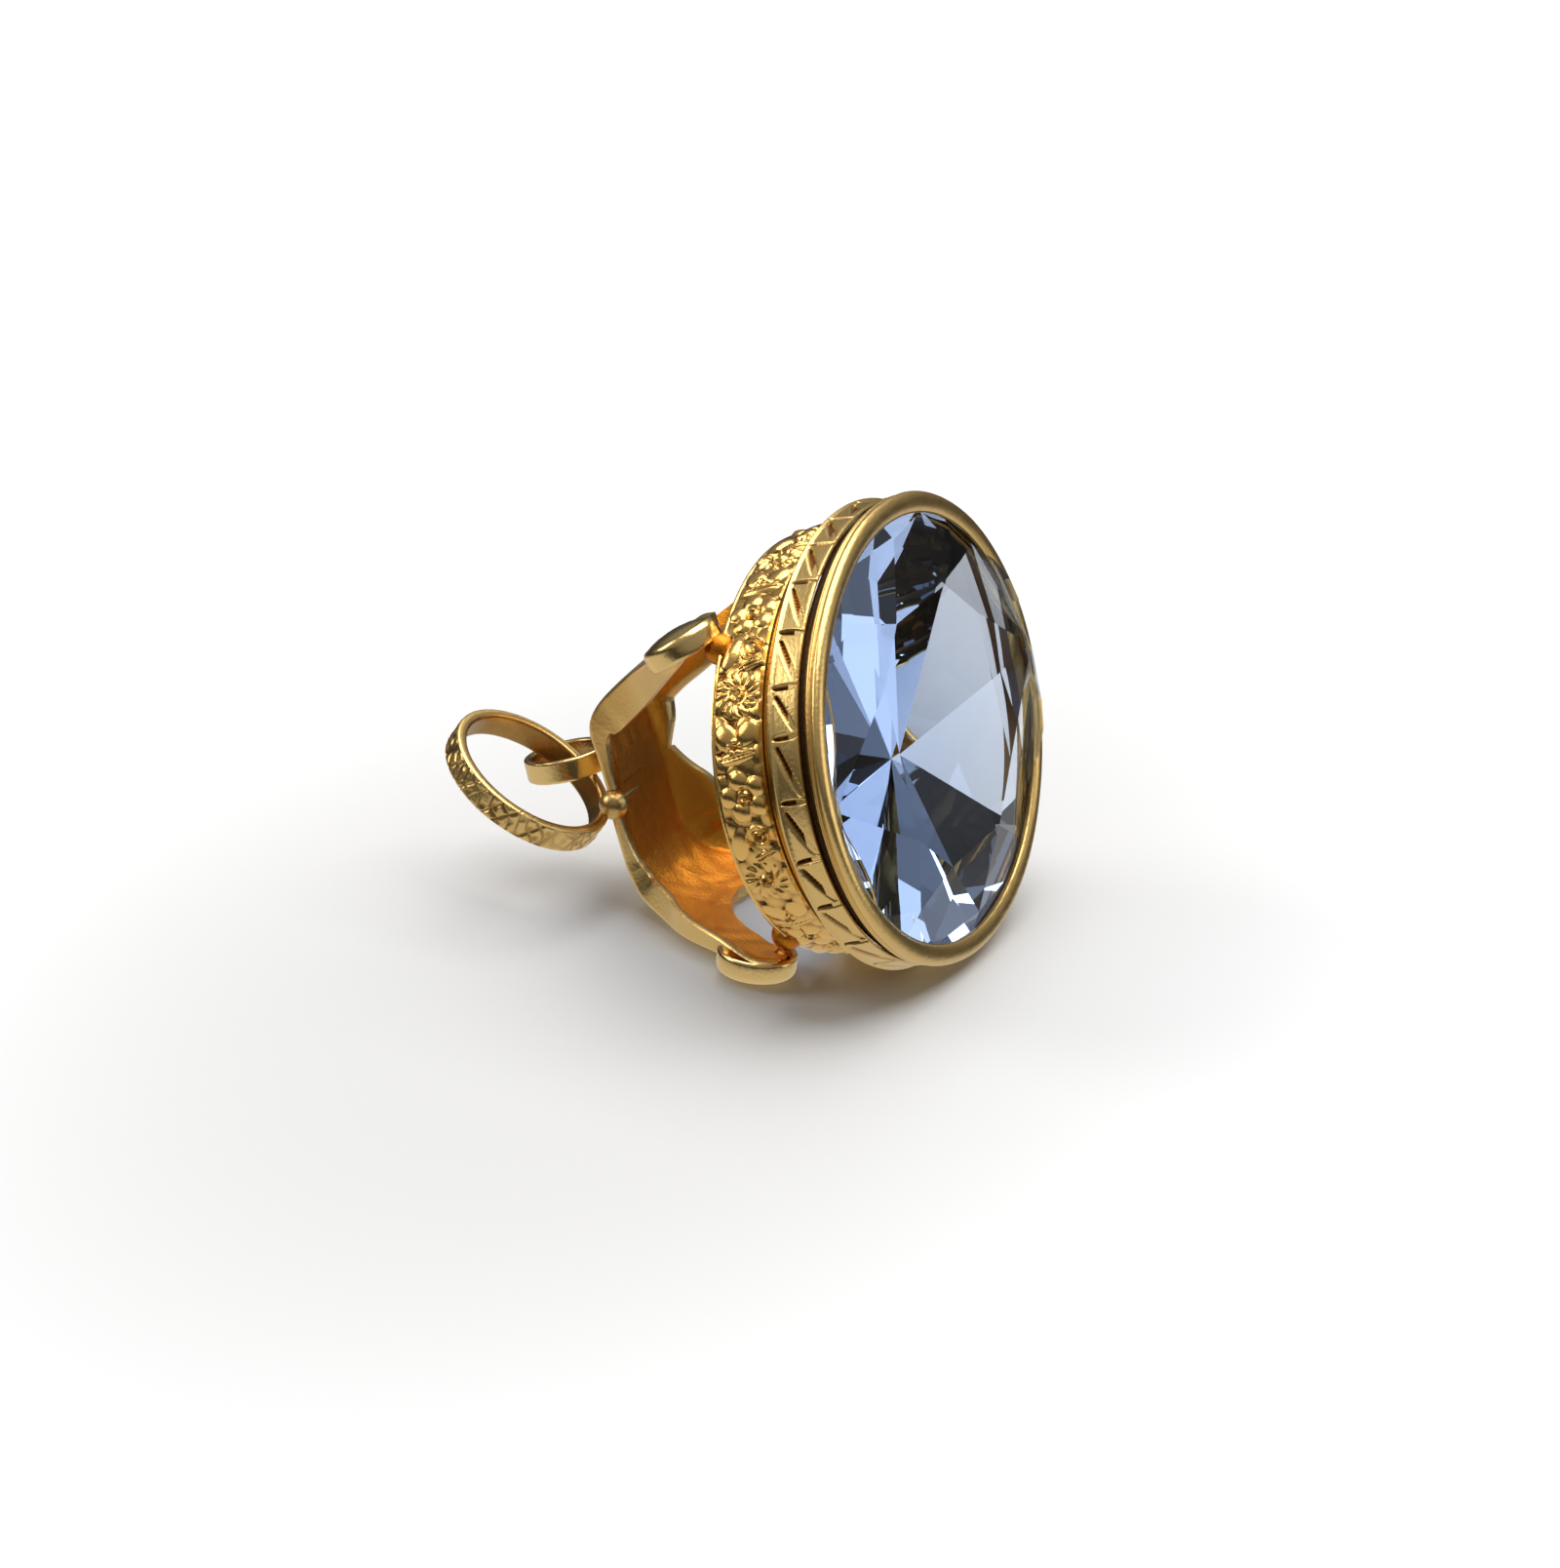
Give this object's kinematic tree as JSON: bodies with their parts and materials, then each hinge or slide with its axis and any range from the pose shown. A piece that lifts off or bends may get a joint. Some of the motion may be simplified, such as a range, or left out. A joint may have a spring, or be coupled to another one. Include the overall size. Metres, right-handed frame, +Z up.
{
  "type": "fob pendant",
  "caption": "Fob pendant with a large oval cut stone in a bezel cup, a yoke of two hollow straps, a small fixed loop and a loose ring for a chain.",
  "frame": {"origin": "centre of the footprint of the jewel's bounding box, on the surface the jewel lies on", "axes": "+Z up, away from the surface; +X towards the side the stone faces; +Y along the long way of the oval stone"},
  "size_m": [0.0208, 0.0214, 0.017],
  "materials": {
    "gold": "polished yellow gold with satin bands",
    "stone": "polished pale blue cut stone"
  },
  "bodies": {
    "root": {"stone": "stone", "setting": "gold", "bail_ring": "gold"}
  },
  "joints": []
}
